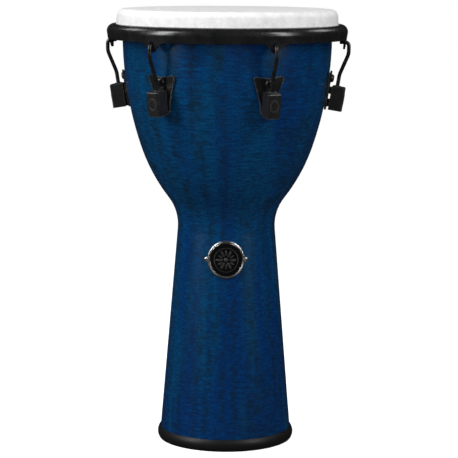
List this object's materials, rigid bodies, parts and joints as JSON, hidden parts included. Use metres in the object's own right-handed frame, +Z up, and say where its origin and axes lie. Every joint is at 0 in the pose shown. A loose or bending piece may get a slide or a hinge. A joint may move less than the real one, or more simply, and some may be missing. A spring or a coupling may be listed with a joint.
{
  "type": "djembe",
  "caption": "Goblet hand drum with a dark blue moulded shell, white synthetic skin, black tuning hoop, hook rods, lug covers, round badge and rubber foot.",
  "frame": {"origin": "centre of the underside of the rubber foot ring", "axes": "+Z up along the drum's axis to the skin; the badge faces -Y; +X to the right seen from the front"},
  "size_m": [0.3562, 0.35, 0.635],
  "materials": {
    "shell": "dark blue satin film with mottled bands over a moulded fibre shell",
    "foot_rubber": "matte black",
    "drum_skin": "white fibrous synthetic skin",
    "black_metal": "black satin powder coat",
    "flesh_hoop": "plain",
    "black_plastic": "fine textured black moulding",
    "plain_steel": "zinc plated",
    "badge_metal": "stamped bright metal",
    "badge_black": "gloss black enamel"
  },
  "bodies": {
    "drum": {"shell": "shell", "foot_ring": "foot_rubber", "drumhead": "drum_skin", "badge_bezel": "badge_metal", "badge_face": "badge_black", "badge_pins": "badge_metal", "side_plate_1": "black_metal", "side_plate_2": "black_metal", "side_plate_3": "black_metal", "side_plate_4": "black_metal", "side_plate_5": "black_metal", "side_plate_6": "black_metal", "lug_cap_1": "black_plastic", "lug_cap_2": "black_plastic", "lug_cap_3": "black_plastic", "lug_cap_4": "black_plastic", "lug_cap_5": "black_plastic", "lug_cap_6": "black_plastic", "tuning_washer_1": "plain_steel", "tuning_washer_2": "plain_steel", "tuning_washer_3": "plain_steel", "tuning_washer_4": "plain_steel", "tuning_washer_5": "plain_steel", "tuning_washer_6": "plain_steel", "plate_bolts_1": "black_metal", "plate_bolts_2": "black_metal", "plate_bolts_3": "black_metal", "plate_bolts_4": "black_metal", "plate_bolts_5": "black_metal", "plate_bolts_6": "black_metal", "plate_washers_1": "plain_steel", "plate_washers_2": "plain_steel", "plate_washers_3": "plain_steel", "plate_washers_4": "plain_steel", "plate_washers_5": "plain_steel", "plate_washers_6": "plain_steel", "plate_nuts_1": "plain_steel", "plate_nuts_2": "plain_steel", "plate_nuts_3": "plain_steel", "plate_nuts_4": "plain_steel", "plate_nuts_5": "plain_steel", "plate_nuts_6": "plain_steel"},
    "hoop": {"counterhoop": "black_metal", "flesh_hoop": "flesh_hoop"},
    "hook_1": {"tuning_hook_1": "black_metal"},
    "nut_1": {"tuning_nut_1": "plain_steel"},
    "hook_2": {"tuning_hook_2": "black_metal"},
    "nut_2": {"tuning_nut_2": "plain_steel"},
    "hook_3": {"tuning_hook_3": "black_metal"},
    "nut_3": {"tuning_nut_3": "plain_steel"},
    "hook_4": {"tuning_hook_4": "black_metal"},
    "nut_4": {"tuning_nut_4": "plain_steel"},
    "hook_5": {"tuning_hook_5": "black_metal"},
    "nut_5": {"tuning_nut_5": "plain_steel"},
    "hook_6": {"tuning_hook_6": "black_metal"},
    "nut_6": {"tuning_nut_6": "plain_steel"}
  },
  "joints": [
    {"name": "hoop_slide", "type": "slide", "parent": "drum", "child": "hoop", "axis": [0, 0, 1], "range_m": [-0.004, 0.003]},
    {"name": "hook_slide_1", "type": "slide", "parent": "drum", "child": "hook_1", "axis": [-0.095, -0.1243, 0.9877], "range_m": [-0.0042, 0.0032]},
    {"name": "nut_spin_1", "type": "hinge", "parent": "drum", "child": "nut_1", "pos_m": [-0.09773, -0.12782, 0.5235], "axis": [-0.095, -0.1243, 0.9877], "range_deg": [-1446, 1446]},
    {"name": "hook_slide_2", "type": "slide", "parent": "drum", "child": "hook_2", "axis": [0.0601, -0.1444, 0.9877], "range_m": [-0.0042, 0.0032]},
    {"name": "nut_spin_2", "type": "hinge", "parent": "drum", "child": "nut_2", "pos_m": [0.06183, -0.14855, 0.5235], "axis": [0.0601, -0.1444, 0.9877], "range_deg": [-1446, 1446]},
    {"name": "hook_slide_3", "type": "slide", "parent": "drum", "child": "hook_3", "axis": [0.1551, -0.0201, 0.9877], "range_m": [-0.0042, 0.0032]},
    {"name": "nut_spin_3", "type": "hinge", "parent": "drum", "child": "nut_3", "pos_m": [0.15956, -0.02072, 0.5235], "axis": [0.1551, -0.0201, 0.9877], "range_deg": [-1446, 1446]},
    {"name": "hook_slide_4", "type": "slide", "parent": "drum", "child": "hook_4", "axis": [0.095, 0.1243, 0.9877], "range_m": [-0.0042, 0.0032]},
    {"name": "nut_spin_4", "type": "hinge", "parent": "drum", "child": "nut_4", "pos_m": [0.09773, 0.12782, 0.5235], "axis": [0.095, 0.1243, 0.9877], "range_deg": [-1446, 1446]},
    {"name": "hook_slide_5", "type": "slide", "parent": "drum", "child": "hook_5", "axis": [-0.0601, 0.1444, 0.9877], "range_m": [-0.0042, 0.0032]},
    {"name": "nut_spin_5", "type": "hinge", "parent": "drum", "child": "nut_5", "pos_m": [-0.06183, 0.14855, 0.5235], "axis": [-0.0601, 0.1444, 0.9877], "range_deg": [-1446, 1446]},
    {"name": "hook_slide_6", "type": "slide", "parent": "drum", "child": "hook_6", "axis": [-0.1551, 0.0201, 0.9877], "range_m": [-0.0042, 0.0032]},
    {"name": "nut_spin_6", "type": "hinge", "parent": "drum", "child": "nut_6", "pos_m": [-0.15956, 0.02072, 0.5235], "axis": [-0.1551, 0.0201, 0.9877], "range_deg": [-1446, 1446]}
  ],
  "couplings": [
    {"joint": "hook_slide_1", "follows": "hoop_slide", "ratio": 1.0125},
    {"joint": "nut_spin_1", "follows": "hoop_slide", "rad_per_m": -6010.9},
    {"joint": "hook_slide_2", "follows": "hoop_slide", "ratio": 1.0125},
    {"joint": "nut_spin_2", "follows": "hoop_slide", "rad_per_m": -6010.9},
    {"joint": "hook_slide_3", "follows": "hoop_slide", "ratio": 1.0125},
    {"joint": "nut_spin_3", "follows": "hoop_slide", "rad_per_m": -6010.9},
    {"joint": "hook_slide_4", "follows": "hoop_slide", "ratio": 1.0125},
    {"joint": "nut_spin_4", "follows": "hoop_slide", "rad_per_m": -6010.9},
    {"joint": "hook_slide_5", "follows": "hoop_slide", "ratio": 1.0125},
    {"joint": "nut_spin_5", "follows": "hoop_slide", "rad_per_m": -6010.9},
    {"joint": "hook_slide_6", "follows": "hoop_slide", "ratio": 1.0125},
    {"joint": "nut_spin_6", "follows": "hoop_slide", "rad_per_m": -6010.9}
  ]
}
